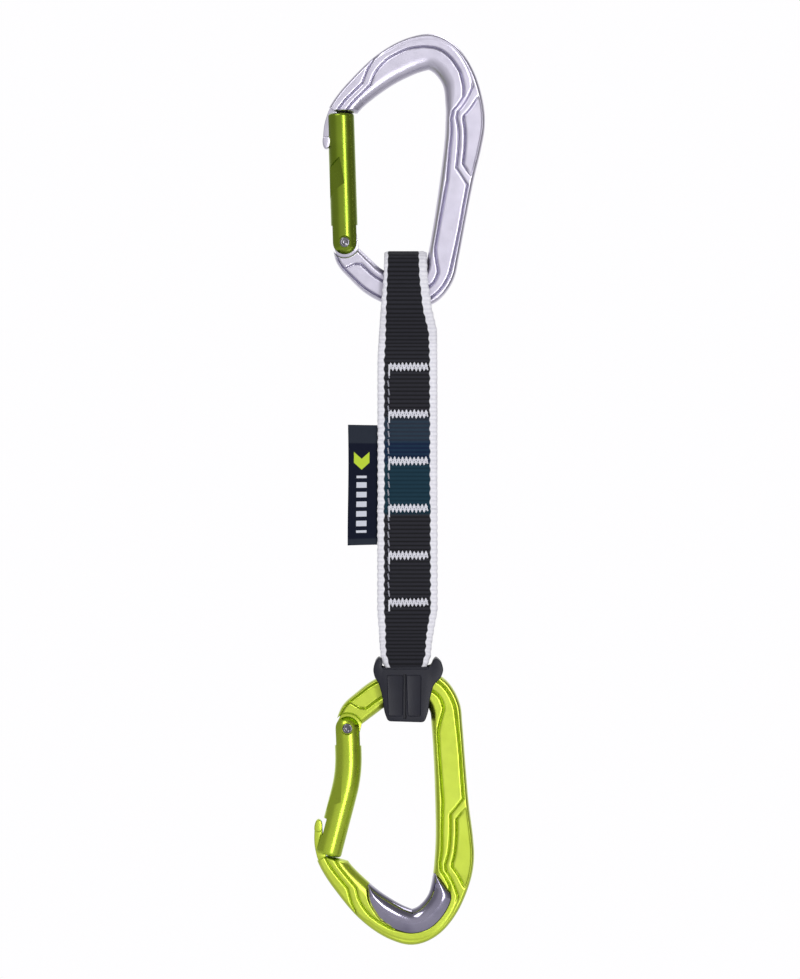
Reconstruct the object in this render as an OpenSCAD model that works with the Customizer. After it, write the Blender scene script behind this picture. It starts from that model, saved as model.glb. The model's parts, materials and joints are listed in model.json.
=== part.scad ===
// Climbing quickdraw: two snap carabiners joined by a sewn sling, hanging from the upper basket.
// +Z is up. X lies across the carabiners, with the gates at -X. Y runs through their thickness.
// The origin is the inner apex of the upper carabiner's basket, where a bolt hanger bears.

/* [Carabiners] */
// Thickness of the forged bodies
body_t = 10; // [9.4:0.1:10.4]
// Thickness of the tongue that each gate straddles
tongue_t = 4; // [3.6:0.1:4.2]
// Diameter of the gates
gate_d = 9.8; // [9.6:0.1:10]
// Diameter of the gate rivets
rivet_d = 3; // [2.6:0.1:3.2]
// Turn of the lower carabiner in its loop, in degrees
lower_turn = 6.2; // [5.8:0.1:6.6]
// Distance between the two inner apexes
apex_span = 310.2; // [306:0.1:330]

/* [Sling] */
// Full width of the webbing
sling_w = 22.4; // [21:0.1:24]
// Width where the webbing is folded in for the upper loop
loop_w = 14.8; // [13:0.1:15]
// Thickness of one layer of webbing
layer_t = 2.5; // [2.2:0.1:2.6]
// Distance between bar tacks
tack_pitch = 17.4; // [15:0.1:18]
// Height of a bar tack
tack_h = 3.3; // [2.6:0.1:4]

/* [Label] */
// How far the label stands out of the sling
label_w = 10; // [7:0.5:14]
// Height of the label
label_h = 44.4; // [30:0.1:50]

/* [Keeper] */
// Thickness of the rubber keeper, front to back
keeper_t = 19; // [18.6:0.1:21]
// Depth of the keeper below the top of the bar it grips
keeper_h = 19.5; // [18:0.1:21]

/* [Hidden] */
$fn = 48;
gap = 0.3;
fit_gap = 0.05;
thin = 0.01;
// How far a cut runs on past the face it opens, and a size larger than any piece's width
over = 2;
far = 60;

// Centre line of the forging, from the nose round the basket and spine to the hinge: [x, z, half width]
body_line = [
    [-31.7, -16.6, 4.9], [-29.5, -13.3, 5.0], [-25.4, -8.7, 5.25], [-17.1, -1.5, 6.1],
    [-10.0, 3.0, 6.6], [-3.3, 5.8, 6.7], [2.4, 6.4, 6.6], [8.0, 2.9, 6.4],
    [12.3, -4.0, 6.3], [14.2, -12.8, 7.0], [14.5, -20.2, 7.3], [13.6, -28.2, 6.9],
    [11.5, -40.0, 6.2], [8.9, -55.4, 5.8], [6.5, -68.8, 5.7], [4.9, -75.6, 5.7],
    [0.8, -81.0, 5.7], [-5.0, -82.8, 5.6], [-11.5, -81.9, 5.6], [-19.0, -78.4, 5.4],
    [-24.5, -73.5, 5.3], [-28.4, -69.0, 5.2],
];
last_station = len(body_line) - 1;
station_step = 0.25;

// Steps of the forged edge: [inset from the outline, share of the thickness]
body_steps = [[0, 0.66], [0.9, 0.86], [1.9, 1]];
// Sunken panels on both faces: [first station, last station, inset, depth]
body_panels = [[11.6, 14.8, 3.1, 0.8], [18.6, 20.2, 3.0, 0.8]];

pivot = [-30, -63.9];
shoulder_r = gate_d / 2 + 1.05;
nose_reach = 48.5;
nose_t = 3;
nose_head_t = 5.2;
nose_line = [[-33.2, -14.5], [-37.2, -15.4], [-38.1, -19.5], [-38.5, -26.3], [-38.1, -28.4], [-37, -29.2],
             [-35.7, -28.4], [-35, -26], [-34.6, -21], [-33.2, -17]];
nose_head_z = -24.6;
// The gate sweeps only what lies on its own side of this X, below the origin's level
gate_side_x = -22;

// Rivet head: rim beyond the shank, thickness, and how far it lies below the gate's side
rivet_rim = 0.4;
rivet_head_t = 0.5;
rivet_sink = 0.1;

// Gates, in the body's plane: tilt from vertical, length above the pivot
gate_r = gate_d / 2;
upper_tilt = -1.8;
upper_gate_l = 47.8;
lower_tilt = 5;
lower_bend_z = 16.5;
lower_end_tilt = -8.4;
lower_gate_l = 30.6;
slot_half = 1.8;
slot_head_half = 3.1;
slot_head_h = 6.2;
// Where each nose slot starts, measured back from the gate's end, and its floor from the gate's axis
upper_slot_start = 14;
upper_slot_floor = -1.3;
lower_slot_start = 12.4;
lower_slot_floor = 0.4;
fork_floor = 6.4;
scallop_r = 11;
scallop_depth = 1.3;
upper_scallop_z = 22.5;
lower_scallop_z = 8;
// The bend's ball stands this much proud of the two cylinders that meet in it
bend_bulge = 0.04;

// The closing spring pushes a plunger onto a spiral cam at the tongue's end
cam_r0 = 3.9;
cam_rise = 1.0;
cam_turn = 30;
cam_slope = cam_rise / cam_turn;
cam_arc = [-30, 50];
plunger_r = 1.3;
plunger_lift = 1.7;
plunger_top = 12;
bore_r = plunger_r + 0.1;
spring_top = 24;
bore_top = 24.2;
spring_r = 0.95;
wire_r = 0.22;
spring_coils = 9;
spring_end_gap = 0.4;
spring_sides = 6;
spring_steps = 10;

// Steel insert: the stations it spans, its depth in the middle and at its tips, and its bent-over rim
insert_first = 3;
insert_last = 9;
insert_depth = 9.4;
insert_tip = 0.8;
insert_rim = 1.2;
insert_core_t = 7.4;
insert_t = body_t + 0.6;

// Sling levels, measured down from the origin
sling_x = -6.85;
core_t = 2 * layer_t;
loop_top_z = -67;
loop_bore = body_t / 2 + 0.7;
loop_out = loop_bore + layer_t;
// The upper loop's middle, and how far its sides run straight before they close in
upper_loop_z = loop_top_z - loop_out;
upper_loop_straight = 14;
// The two layers meet this far before the loop's flat end
loop_closed = 6;
upper_flex_z = -103;
upper_join_z = upper_flex_z + core_t / 2 + gap;
lower_apex = [-6.1, -apex_span];
bar_z = lower_apex[1] + 82.8;
lower_flex_z = lower_apex[1] + 104.2;
lower_loop_z = bar_z - 2.9;
lower_loop_straight = 8;
lower_join_z = lower_flex_z - core_t / 2 - gap;
full_width_z = -109;
narrowing_z = lower_apex[1] + 110;
keeper_mouth_w = 18.6;
lower_loop_w = 12.2;
keeper_x = -7.5;
tack_w = 15.2;
tack_x = -6.85;
tack_top_z = -109.9;
tack_proud = 0.35;
thread_w = 0.75;
zigs = 13;
seam_x = -14.7;
seam_w = 0.5;
seam_proud = 0.3;
seam_dash = 2.1;
seam_pitch = 3.1;
label_mid_z = -153.5;
label_t = 1;
label_hinge_x = sling_x - sling_w / 2 - label_t / 2 - gap;

// ---- Curves ----

// Catmull-Rom blend of four neighbours
function blend4(a, b, c, d, t) =
    0.5 * (2 * b + (c - a) * t + (2 * a - 5 * b + 4 * c - d) * t * t + (3 * b - a - 3 * c + d) * t * t * t);

function station(i) = body_line[max(0, min(last_station, i))];

// Point and half width of the centre line at station s, which need not be whole
function centre_at(s) =
    let (i = min(floor(s), last_station - 1))
    blend4(station(i - 1), station(i), station(i + 1), station(i + 2), s - i);

// Direction across the body at station s, towards the inside of the ring
function inward_at(s) =
    let (a = centre_at(max(0, s - 0.1)), b = centre_at(min(last_station, s + 0.1)))
    let (dx = b[0] - a[0], dz = b[1] - a[1])
    [dz, -dx] / norm([dx, dz]);

// A point at signed distance d inwards from the centre line
function across(s, d) = let (c = centre_at(s)) [c[0], c[1]] + d * inward_at(s);

function band_points(s0, s1, inset) = concat(
    [for (s = [s0:station_step:s1]) across(s, -(centre_at(s)[2] - inset))],
    [for (s = [s1:-station_step:s0]) across(s, centre_at(s)[2] - inset)]);

// ---- Shared shapes ----

// A plate in the XZ plane, centred on Y = 0
module plate(t) {
    rotate([90, 0, 0]) linear_extrude(t, center = true) children();
}

module band(t, inset = 0, s0 = 0, s1 = last_station) {
    plate(t) polygon(band_points(s0, s1, inset));
}

module pin(r, l) {
    rotate([90, 0, 0]) cylinder(r = r, h = l, center = true);
}

module at_pivot() {
    translate([pivot[0], 0, pivot[1]]) children();
}

// The upper carabiner's frame, turned over for the lower one
module lower_place() {
    translate([lower_apex[0], 0, lower_apex[1]]) rotate([0, lower_turn, 0]) mirror([0, 0, 1]) children();
}

// ---- Carabiner body ----

function cam_r(angle) = cam_r0 + cam_slope * (angle - upper_tilt);

module tongue() {
    cam = [for (a = [cam_arc[0]:5:cam_arc[1]]) cam_r(a) * [sin(a), cos(a)]];
    root = [[5.2, -2.8], [4, -9], [-1, -11.5], [-3.2, -8], [-3.9, -2]];
    at_pivot() plate(tongue_t) polygon(concat(cam, root));
}

module nose() {
    plate(nose_t) polygon(nose_line);
    intersection() {
        plate(nose_head_t) polygon(nose_line);
        translate([-far, -far / 2, nose_head_z - far]) cube(far);
    }
}

module body_blank() {
    for (step = body_steps) band(body_t * step[1], step[0]);
}

// Space kept clear for the gate: its fork at the hinge, and the arc that its free end sweeps
module gate_space() {
    at_pivot() pin(shoulder_r, body_t + over);
    intersection() {
        at_pivot() pin(nose_reach, body_t + over);
        translate([gate_side_x - far, -far / 2, -far]) cube(far);
    }
}

module carabiner_body() {
    difference() {
        union() {
            difference() {
                body_blank();
                gate_space();
                for (p = body_panels, side = [-1, 1])
                    translate([0, side * (body_t - p[3]) / 2, 0]) band(p[3] + thin, p[2], p[0], p[1]);
            }
            tongue();
            nose();
        }
        at_pivot() pin(rivet_d / 2, body_t);
    }
}

// ---- Rivet, plunger and spring, in the frame of the gate's hinge ----

module rivet() {
    head_y = gate_r - rivet_sink - rivet_head_t / 2;
    pin(rivet_d / 2, 2 * head_y);
    for (side = [-1, 1]) translate([0, side * head_y, 0]) pin(rivet_d / 2 + rivet_rim, rivet_head_t);
}

// Bore for the shank, and a pocket for each head
module rivet_clearance() {
    floor_y = gate_r - rivet_sink - rivet_head_t - fit_gap;
    pin(rivet_d / 2 + fit_gap, gate_d + over);
    for (side = [-1, 1])
        translate([0, side * (floor_y + over / 2), 0]) pin(rivet_d / 2 + rivet_rim + gap, over);
}

module plunger(tilt) {
    tip = cam_r(tilt) + plunger_lift;
    translate([0, 0, tip]) sphere(r = plunger_r);
    translate([0, 0, tip]) cylinder(r = plunger_r, h = plunger_top - tip);
}

// A point on the wire's skin: so many turns up the coil, so far round the wire
function ring_point(turn, side) =
    let (low = plunger_top + spring_end_gap + wire_r, high = spring_top - spring_end_gap - wire_r)
    let (z = low + turn / spring_coils * (high - low) + wire_r * sin(side))
    let (out = spring_r + wire_r * cos(side), a = turn * 360)
    [out * cos(a), out * sin(a), z];

module spring() {
    rings = spring_coils * spring_steps;
    points = [for (i = [0:rings], k = [0:spring_sides - 1])
        ring_point(i / spring_steps, k * 360 / spring_sides)];
    walls = [for (i = [0:rings - 1], k = [0:spring_sides - 1])
        let (n = (k + 1) % spring_sides, a = i * spring_sides, b = a + spring_sides)
        [a + k, a + n, b + n, b + k]];
    ends = [[for (k = [spring_sides - 1:-1:0]) k], [for (k = [0:spring_sides - 1]) rings * spring_sides + k]];
    polyhedron(points, concat(walls, ends));
}

module spring_bore() {
    translate([0, 0, fork_floor - over]) cylinder(r = bore_r, h = bore_top - fork_floor + over);
}

// ---- Gates ----

// Slot for the nose from height z up, open to the outside and at the gate's end
module nose_slot(z, floor_x) {
    translate([floor_x - gate_d, -slot_half, z]) cube([gate_d, 2 * slot_half, 2 * gate_d]);
    translate([floor_x - gate_d, -slot_head_half, z]) cube([gate_d, 2 * slot_head_half, slot_head_h]);
}

module fork_slot() {
    t = tongue_t + gap;
    translate([-gate_d, -t / 2, -gate_d]) cube([2 * gate_d, t, gate_d + fork_floor]);
}

// Thumb scallop on the outer side of the gate
module scallop(z) {
    translate([scallop_depth - gate_r - scallop_r, 0, z]) pin(scallop_r, 2 * gate_d);
}

module upper_gate_local() {
    difference() {
        union() {
            cylinder(r = gate_r, h = upper_gate_l);
            sphere(r = gate_r);
        }
        fork_slot();
        rivet_clearance();
        spring_bore();
        nose_slot(upper_gate_l - upper_slot_start, upper_slot_floor);
        scallop(upper_scallop_z);
    }
}

module lower_gate_local() {
    difference() {
        union() {
            cylinder(r = gate_r, h = lower_bend_z);
            sphere(r = gate_r);
            translate([0, 0, lower_bend_z]) {
                sphere(r = gate_r + bend_bulge);
                rotate([0, lower_end_tilt - lower_tilt, 0]) cylinder(r = gate_r, h = lower_gate_l);
            }
        }
        fork_slot();
        rivet_clearance();
        spring_bore();
        translate([0, 0, lower_bend_z]) rotate([0, lower_end_tilt - lower_tilt, 0]) {
            nose_slot(lower_gate_l - lower_slot_start, lower_slot_floor);
            scallop(lower_scallop_z);
        }
    }
}

module upper_hinge() {
    at_pivot() rotate([0, upper_tilt, 0]) children();
}

module lower_hinge() {
    lower_place() at_pivot() rotate([0, lower_tilt, 0]) children();
}

module top_body() { color([0.80, 0.79, 0.85]) carabiner_body(); }
module top_gate() { color([0.50, 0.60, 0.15]) upper_hinge() upper_gate_local(); }
module top_gate_rivet() { color("silver") upper_hinge() rivet(); }
module top_gate_plunger() { color("gray") upper_hinge() plunger(upper_tilt); }
module top_gate_spring() { color("lightgray") upper_hinge() spring(); }

module bottom_gate() { color([0.70, 0.82, 0.25]) lower_hinge() lower_gate_local(); }
module bottom_gate_rivet() { color("silver") lower_hinge() rivet(); }
module bottom_gate_plunger() { color("gray") lower_hinge() plunger(lower_tilt); }
module bottom_gate_spring() { color("lightgray") lower_hinge() spring(); }

// ---- Steel rope insert: a U-shaped clip over the inner side of the lower basket ----

// How far the insert reaches out from the body's inner edge at station s
function insert_reach(s) =
    let (bulge = sin(180 * (s - insert_first) / (insert_last - insert_first)))
    insert_tip + (insert_depth - insert_tip) * pow(bulge, 0.8);

// Crescent from a rim's width off the body's inner edge out to the insert's reach and a little extra
module crescent(t, rim, extra) {
    inner = [for (s = [insert_first:station_step:insert_last]) across(s, centre_at(s)[2] - rim)];
    outer = [for (s = [insert_last:-station_step:insert_first])
        across(s, centre_at(s)[2] - max(rim + thin, insert_reach(s) + extra))];
    plate(t) polygon(concat(inner, outer));
}

module rope_insert() {
    color([0.62, 0.61, 0.68]) lower_place() difference() {
        crescent(insert_t, 0, 0);
        crescent(insert_core_t + fit_gap, insert_rim, 2 * over);
    }
}

module bottom_body() {
    color([0.78, 0.88, 0.30]) lower_place() difference() {
        carabiner_body();
        crescent(body_t + over, -over / 2, fit_gap);
    }
    color([0.78, 0.88, 0.30]) lower_place() intersection() {
        crescent(insert_core_t - fit_gap, insert_rim + fit_gap, gap);
        band(body_t);
    }
}

// ---- Sling ----

// Outline of a loop seen along X, from its far end to the flat end where it joins the core
function loop_side(out, end_y, reach, bend) = concat(
    [for (a = [0:15:180]) [out * cos(a), out * sin(a)]],
    [[-out, -bend], [-end_y, -reach], [end_y, -reach], [out, -bend]]);

// Extrudes a YZ outline along X
module side_plate(w) {
    rotate([90, 0, 90]) linear_extrude(w, center = true) children();
}

module loop_solid(centre_z, reach, bend, flip) {
    translate([sling_x, 0, centre_z]) mirror([0, 0, flip]) difference() {
        side_plate(3 * sling_w) polygon(loop_side(loop_out, core_t / 2, reach, bend));
        side_plate(4 * sling_w) polygon(loop_side(loop_bore, thin, reach - loop_closed, bend));
    }
}

// Front outline of the webbing from the upper loop to the keeper: [z, half width]
upper_widths = [[loop_top_z + 1, loop_w / 2 - 0.6], [loop_top_z - 10, loop_w / 2 - 0.5],
                [loop_top_z - 17, loop_w / 2 + 0.3], [loop_top_z - 29, loop_w / 2 + 1.8],
                [upper_join_z, sling_w / 2 - 1.1]];
core_widths = [[upper_flex_z + core_t, sling_w / 2 - 0.9], [full_width_z, sling_w / 2],
               [narrowing_z, sling_w / 2], [lower_flex_z - core_t, sling_w / 2 - 0.9]];
lower_widths = [[lower_join_z, sling_w / 2 - 1.2], [bar_z + 9, keeper_mouth_w / 2],
                [bar_z + 4, lower_loop_w / 2 + 1.2], [bar_z - 12, lower_loop_w / 2]];

module front_outline(x, widths) {
    n = len(widths);
    plate(far) polygon(concat(
        [for (p = widths) [x - p[1], p[0]]],
        [for (i = [n - 1:-1:0]) [x + widths[i][1], widths[i][0]]]));
}

module webbing_upper_loop() {
    color([0.13, 0.13, 0.16]) intersection() {
        loop_solid(upper_loop_z, upper_loop_z - upper_join_z, upper_loop_straight, 0);
        front_outline(sling_x, upper_widths);
    }
}

module webbing_core() {
    color([0.13, 0.13, 0.16]) intersection() {
        translate([sling_x, 0, 0]) union() {
            translate([0, 0, (upper_flex_z + lower_flex_z) / 2])
                cube([2 * sling_w, core_t, upper_flex_z - lower_flex_z], center = true);
            for (z = [upper_flex_z, lower_flex_z])
                translate([0, 0, z]) rotate([0, 90, 0])
                    cylinder(r = core_t / 2, h = 2 * sling_w, center = true);
        }
        front_outline(sling_x, core_widths);
    }
}

module webbing_lower_loop() {
    color([0.13, 0.13, 0.16]) intersection() {
        loop_solid(lower_loop_z, lower_join_z - lower_loop_z, lower_loop_straight, 1);
        front_outline(keeper_x, lower_widths);
    }
}

// One bar tack: a zigzag of thread on each face of the core
module bar_tack(i) {
    z = tack_top_z - i * tack_pitch;
    step = tack_w / zigs;
    top = [for (k = [0:zigs]) [k * step, (k % 2 == 0 ? -1 : 1) * (tack_h - thread_w) / 2]];
    edge = [for (p = top) [p[0] - tack_w / 2, p[1] + thread_w]];
    back = [for (k = [zigs:-1:0]) [top[k][0] - tack_w / 2, top[k][1] - thread_w]];
    color([0.9, 0.9, 0.92]) for (side = [-1, 1])
        translate([tack_x, side * (core_t + tack_proud) / 2, z])
            plate(tack_proud) polygon(concat(edge, back));
}

module bar_tack_1() { bar_tack(0); }
module bar_tack_2() { bar_tack(1); }
module bar_tack_3() { bar_tack(2); }
module bar_tack_4() { bar_tack(3); }
module bar_tack_5() { bar_tack(4); }
module bar_tack_6() { bar_tack(5); }

module side_seam() {
    count = floor(5 * tack_pitch / seam_pitch);
    color([0.8, 0.8, 0.82]) for (i = [1:count - 1], side = [-1, 1])
        translate([seam_x, side * (core_t + seam_proud) / 2, tack_top_z - i * seam_pitch])
            cube([seam_w, seam_proud, seam_dash], center = true);
}

// ---- Label: a folded tab with its hinge line just outside the webbing's edge ----

module label() {
    color([0.03, 0.07, 0.15]) translate([label_hinge_x, 0, label_mid_z]) {
        translate([-label_w / 2, 0, 0]) cube([label_w, label_t, label_h], center = true);
        cylinder(d = label_t, h = label_h, center = true);
    }
}

// ---- Rubber keeper over the lower loop and the bar ----

// A tapering block with rounded lower corners and a wing curling up on each side of its mouth
module keeper_outside() {
    top = bar_z + 5.4;
    base = bar_z + 6 - keeper_h;
    body = [[-9.2, top - 1], [-7.9, base + 3], [-6.9, base + 0.8], [-5.6, base], [5.6, base],
            [6.9, base + 0.8], [7.9, base + 3], [9.2, top - 1]];
    wing = [[9.2, top - 1], [12.4, top - 3.2], [14.2, top + 0.6], [13.2, top + 3.6], [10.9, top + 5.2],
            [9.7, top + 4.6]];
    mouth = [[keeper_mouth_w / 2, top + 1.4], [-keeper_mouth_w / 2, top + 1.4]];
    tip = len(wing) - 1;
    right_wing = [for (i = [1:tip]) wing[i]];
    left_wing = [for (i = [tip:-1:1]) [-wing[i][0], wing[i][1]]];
    translate([keeper_x, 0, 0]) plate(keeper_t) polygon(concat(body, right_wing, mouth, left_wing));
}

// Room for the webbing's loop, a little wider than the loop all the way down
module keeper_room() {
    room = loop_out + gap;
    room_widths = [[bar_z + 20, 10.6], [bar_z + 9, 9.7], [bar_z + 4, 7.8], [lower_loop_z - room, 6.7]];
    intersection() {
        translate([keeper_x, 0, bar_z]) cube([far, 2 * room, far], center = true);
        front_outline(keeper_x, room_widths);
    }
}

module keeper() {
    color([0.18, 0.18, 0.23]) difference() {
        keeper_outside();
        keeper_room();
        lower_place() band(body_t + 2 * gap, -gap);
    }
}

top_body();
top_gate();
top_gate_rivet();
top_gate_plunger();
top_gate_spring();
bottom_body();
rope_insert();
bottom_gate();
bottom_gate_rivet();
bottom_gate_plunger();
bottom_gate_spring();
webbing_upper_loop();
webbing_core();
webbing_lower_loop();
bar_tack_1();
bar_tack_2();
bar_tack_3();
bar_tack_4();
bar_tack_5();
bar_tack_6();
side_seam();
label();
keeper();
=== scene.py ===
"""Climbing quickdraw: the looks of every piece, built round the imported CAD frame.

Shapes are worked out in millimetres in the frame's own axes and written to meshes in metres.
The carabiners lie in the XZ plane with their gates at -X, and the front faces -Y.
"""
import json
import math
import random

import bmesh
import bpy
import numpy as np
from mathutils import Matrix, Vector


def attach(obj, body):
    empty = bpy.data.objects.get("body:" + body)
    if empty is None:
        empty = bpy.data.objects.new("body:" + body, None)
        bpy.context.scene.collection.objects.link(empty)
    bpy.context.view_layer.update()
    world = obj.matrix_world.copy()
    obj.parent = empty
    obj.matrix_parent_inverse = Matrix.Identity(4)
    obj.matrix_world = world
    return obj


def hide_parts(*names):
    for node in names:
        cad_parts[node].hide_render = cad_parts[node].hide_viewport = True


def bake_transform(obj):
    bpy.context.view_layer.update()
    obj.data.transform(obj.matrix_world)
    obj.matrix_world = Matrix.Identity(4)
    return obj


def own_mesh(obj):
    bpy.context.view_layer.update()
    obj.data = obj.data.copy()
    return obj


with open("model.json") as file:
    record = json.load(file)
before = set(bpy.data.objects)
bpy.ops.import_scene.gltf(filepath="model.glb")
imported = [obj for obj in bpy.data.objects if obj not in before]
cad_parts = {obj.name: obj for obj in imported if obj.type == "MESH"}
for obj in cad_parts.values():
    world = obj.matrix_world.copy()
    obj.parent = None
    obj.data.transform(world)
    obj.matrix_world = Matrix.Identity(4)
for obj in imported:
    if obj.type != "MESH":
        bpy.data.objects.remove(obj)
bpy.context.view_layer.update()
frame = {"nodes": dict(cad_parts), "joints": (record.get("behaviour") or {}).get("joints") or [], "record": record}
joints = {j["name"]: j for j in frame["joints"]}
MM = 0.001


def joint_point(name):
    """A joint's place in millimetres, as (x, z)."""
    x, _, z = joints[name]["pos_m"]
    return np.array([x, z]) / MM


# ---- The frame's own sizes ----

UPPER_PIVOT = joint_point("top_gate_hinge")
SLING_X = joint_point("sling_flex")[0]
LOWER_APEX = np.array(frame["record"]["mounts"][1]["pos_m"])[[0, 2]] / MM
LOWER_TURN = math.radians(6.2)
# Height of the lower carabiner's bar, which the lower loop and the keeper hold
BAR_Z = LOWER_APEX[1] + 82.8
GATE_R = 4.9
# Lean of each closed gate at its hinge, in degrees
UPPER_TILT = -1.8
LOWER_TILT = 5.0

# Centre line of the forging from the nose round past the hinge: x, z, half width
BODY_LINE = [
    (-31.7, -16.6, 4.9), (-29.5, -13.3, 5.0), (-25.4, -8.7, 5.25), (-17.1, -1.5, 6.1),
    (-10.0, 3.0, 6.6), (-3.3, 5.8, 6.7), (2.4, 6.4, 6.6), (8.0, 2.9, 6.4),
    (12.3, -4.0, 6.3), (14.2, -12.8, 7.0), (14.5, -20.2, 7.3), (13.6, -28.2, 6.9),
    (11.5, -40.0, 6.2), (8.9, -55.4, 5.8), (6.5, -68.8, 5.7), (4.9, -75.6, 5.7),
    (0.8, -81.0, 5.7), (-5.0, -82.8, 5.6), (-11.5, -81.9, 5.6), (-19.0, -78.4, 5.4),
    (-24.5, -73.5, 5.3), (-28.6, -69.2, 5.0), (-31.1, -65.0, 3.6),
]
LAST = len(BODY_LINE) - 1


# ---- Curves and small helpers ----

def spline(points, s):
    """Catmull-Rom through the points, at stations s, whole or part."""
    p = np.asarray(points, float)
    last = len(p) - 1
    s = np.clip(np.asarray(s, float), 0, last)
    i = np.minimum(np.floor(s).astype(int), last - 1)
    t = (s - i)[..., None]
    a, b, c, d = (p[np.clip(i + k, 0, last)] for k in (-1, 0, 1, 2))
    return 0.5 * (2 * b + (c - a) * t + (2 * a - 5 * b + 4 * c - d) * t**2 + (3 * b - a - 3 * c + d) * t**3)


def inward(s):
    """Unit direction across the forging at station s, towards the inside of the ring."""
    s = np.asarray(s, float)
    step = spline(BODY_LINE, np.minimum(s + 0.1, LAST)) - spline(BODY_LINE, np.maximum(s - 0.1, 0))
    n = np.stack([step[..., 1], -step[..., 0]], -1)
    return n / np.linalg.norm(n, axis=-1, keepdims=True)


def across(s, d):
    """The point at signed distance d inwards from the centre line at station s."""
    return spline(BODY_LINE, s)[..., :2] + np.asarray(d)[..., None] * inward(s)


def half_width(s):
    """Half the forging's width at station s."""
    return spline(BODY_LINE, s)[..., 2]


def smooth(x, low, high):
    """0 below low and 1 above high, easing between."""
    t = np.clip((np.asarray(x, float) - low) / (high - low), 0, 1)
    return t * t * (3 - 2 * t)


def between(x, low, rise, fall, high):
    """1 from rise to fall, easing to 0 at low and high."""
    return smooth(x, low, rise) * smooth(-x, -high, -fall)


def table(points, x):
    """Straight-line interpolation in a list of (x, y), in any order."""
    p = np.array(sorted(points), float)
    return np.interp(x, p[:, 0], p[:, 1])


def rounded(d, radius, power=2.0):
    """Share of full height at distance d in from an edge that is rounded over radius."""
    u = 1 - np.clip(np.asarray(d, float) / radius, 0, 1)
    return (1 - u**power) ** (1 / power)


def to_lower(points):
    """Puts points of the upper forging's frame into the lower carabiner's place, in millimetres."""
    p = np.asarray(points, float)
    x, z = p[..., 0], -p[..., 2]
    c, s = math.cos(LOWER_TURN), math.sin(LOWER_TURN)
    return np.stack([LOWER_APEX[0] + x * c + z * s, p[..., 1], LOWER_APEX[1] - x * s + z * c], -1)


def new_object(name, verts, faces, uvs=None, smooth_angle=40):
    """A mesh object from millimetre points, with outward normals and smooth shading up to an angle."""
    mesh = bpy.data.meshes.new(name)
    mesh.from_pydata((np.asarray(verts, float) * MM).tolist(), [], [list(map(int, f)) for f in faces])
    if uvs is not None:
        layer = mesh.uv_layers.new(name="pattern")
        index = np.zeros(len(mesh.loops), int)
        mesh.loops.foreach_get("vertex_index", index)
        layer.data.foreach_set("uv", np.asarray(uvs, float)[index].ravel())
    work = bmesh.new()
    work.from_mesh(mesh)
    bmesh.ops.recalc_face_normals(work, faces=work.faces)
    work.to_mesh(mesh)
    work.free()
    mesh.validate()
    obj = bpy.data.objects.new(name, mesh)
    bpy.context.scene.collection.objects.link(obj)
    mesh.shade_smooth()
    if smooth_angle < 180:
        mark_sharp(mesh, smooth_angle)
    return obj


def mark_sharp(mesh, angle):
    """Marks edges sharper than the angle, so that smooth shading breaks there."""
    work = bmesh.new()
    work.from_mesh(mesh)
    limit = math.radians(angle)
    for e in work.edges:
        e.smooth = len(e.link_faces) == 2 and e.calc_face_angle(0) < limit
    work.to_mesh(mesh)
    work.free()


def merged(parts):
    """Joins (verts, faces) pairs into one."""
    verts, faces, base = [], [], 0
    for v, f in parts:
        verts.append(np.asarray(v, float))
        faces.extend([[i + base for i in face] for face in f])
        base += len(v)
    return np.concatenate(verts), faces


def tube_faces(rings, sides):
    """Faces of a closed tube, whose points are so many rings of so many points, with a cap at each end."""
    out = []
    for r in range(rings - 1):
        for k in range(sides):
            near, far = r * sides, (r + 1) * sides
            out.append((near + k, near + (k + 1) % sides, far + (k + 1) % sides, far + k))
    out.append(list(range(sides))[::-1])
    out.append([(rings - 1) * sides + k for k in range(sides)])
    return out


def tube(path, radius, sides=8, flatten=1.0, across_axis=(0, 1, 0)):
    """A capped tube along a path of points. flatten squeezes it along across_axis."""
    p = np.asarray(path, float)
    n = len(p)
    radius = np.broadcast_to(radius, (n,))
    flat = np.asarray(across_axis, float)
    tangent = np.gradient(p, axis=0)
    tangent /= np.linalg.norm(tangent, axis=1, keepdims=True)
    side = np.cross(tangent, flat)
    side /= np.maximum(np.linalg.norm(side, axis=1, keepdims=True), 1e-9)
    up = np.cross(side, tangent)
    a = np.arange(sides) * 2 * math.pi / sides
    ring = (side[:, None] * np.cos(a)[None, :, None] + up[:, None] * (np.sin(a) * flatten)[None, :, None])
    verts = (p[:, None] + ring * radius[:, None, None]).reshape(-1, 3)
    return verts, tube_faces(n, sides)


def lathe(profile, segments=48):
    """Turns a profile of (radius, y) points round the Y axis. Points of radius 0 close the ends."""
    verts, rings = [], []
    for r, y in profile:
        if r < 1e-6:
            rings.append([len(verts)] * segments)
            verts.append((0, y, 0))
        else:
            rings.append([len(verts) + k for k in range(segments)])
            angles = [2 * math.pi * k / segments for k in range(segments)]
            verts += [(r * math.cos(a), y, r * math.sin(a)) for a in angles]
    faces = []
    for a, b in zip(rings, rings[1:]):
        for k in range(segments):
            quad = [a[k], a[(k + 1) % segments], b[(k + 1) % segments], b[k]]
            faces.append(list(dict.fromkeys(quad)))
    return np.array(verts, float), faces


def carve(obj, cutter_points, cutter_faces):
    """Cuts a closed shape out of an object and applies the cut."""
    cutter = new_object("cutter", cutter_points, cutter_faces)
    mod = obj.modifiers.new("cut", "BOOLEAN")
    mod.operation, mod.solver, mod.object = "DIFFERENCE", "EXACT", cutter
    depsgraph = bpy.context.evaluated_depsgraph_get()
    result = bpy.data.meshes.new_from_object(obj.evaluated_get(depsgraph))
    obj.modifiers.clear()
    old = obj.data
    obj.data = result
    bpy.data.meshes.remove(old)
    spare = cutter.data
    bpy.data.objects.remove(cutter)
    bpy.data.meshes.remove(spare)


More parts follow.
